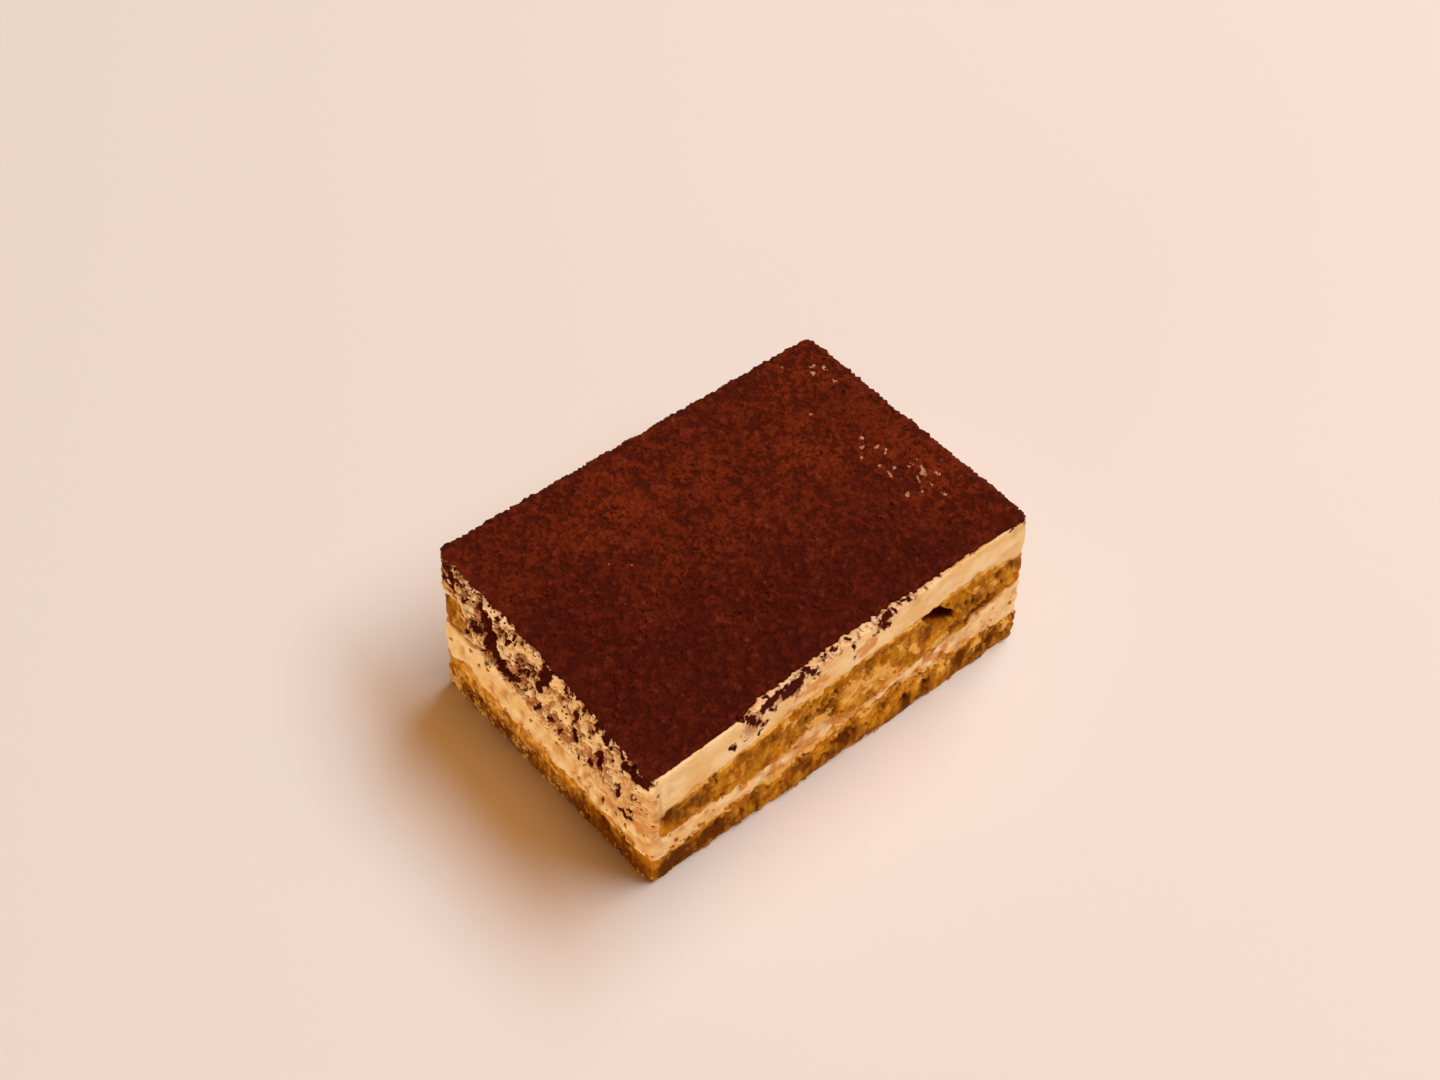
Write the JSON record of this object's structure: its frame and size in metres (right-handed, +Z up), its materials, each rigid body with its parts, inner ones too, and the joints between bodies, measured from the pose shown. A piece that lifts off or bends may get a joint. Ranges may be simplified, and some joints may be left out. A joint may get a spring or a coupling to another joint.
{
  "type": "tiramisu portion",
  "caption": "Rectangular portion of tiramisu: coffee-soaked sponge and mascarpone cream in layers, with a dusting of cocoa powder over the top.",
  "frame": {"origin": "middle of the underside, at the centre of the bounding box", "axes": "+Z up, +X along the portion's long side, +Y away from the clean cut side; the smeared short side faces -X"},
  "size_m": [0.0958, 0.066, 0.0398],
  "materials": {
    "sponge": "moist, porous coffee-soaked sponge",
    "cream": "soft satin mascarpone cream",
    "cocoa": "matt granular cocoa powder"
  },
  "bodies": {
    "root": {"sponge_lower": "sponge", "cream_middle": "cream", "sponge_upper_long": "sponge", "sponge_upper_short": "sponge", "cream_top": "cream", "cocoa_dusting": "cocoa"}
  },
  "joints": []
}
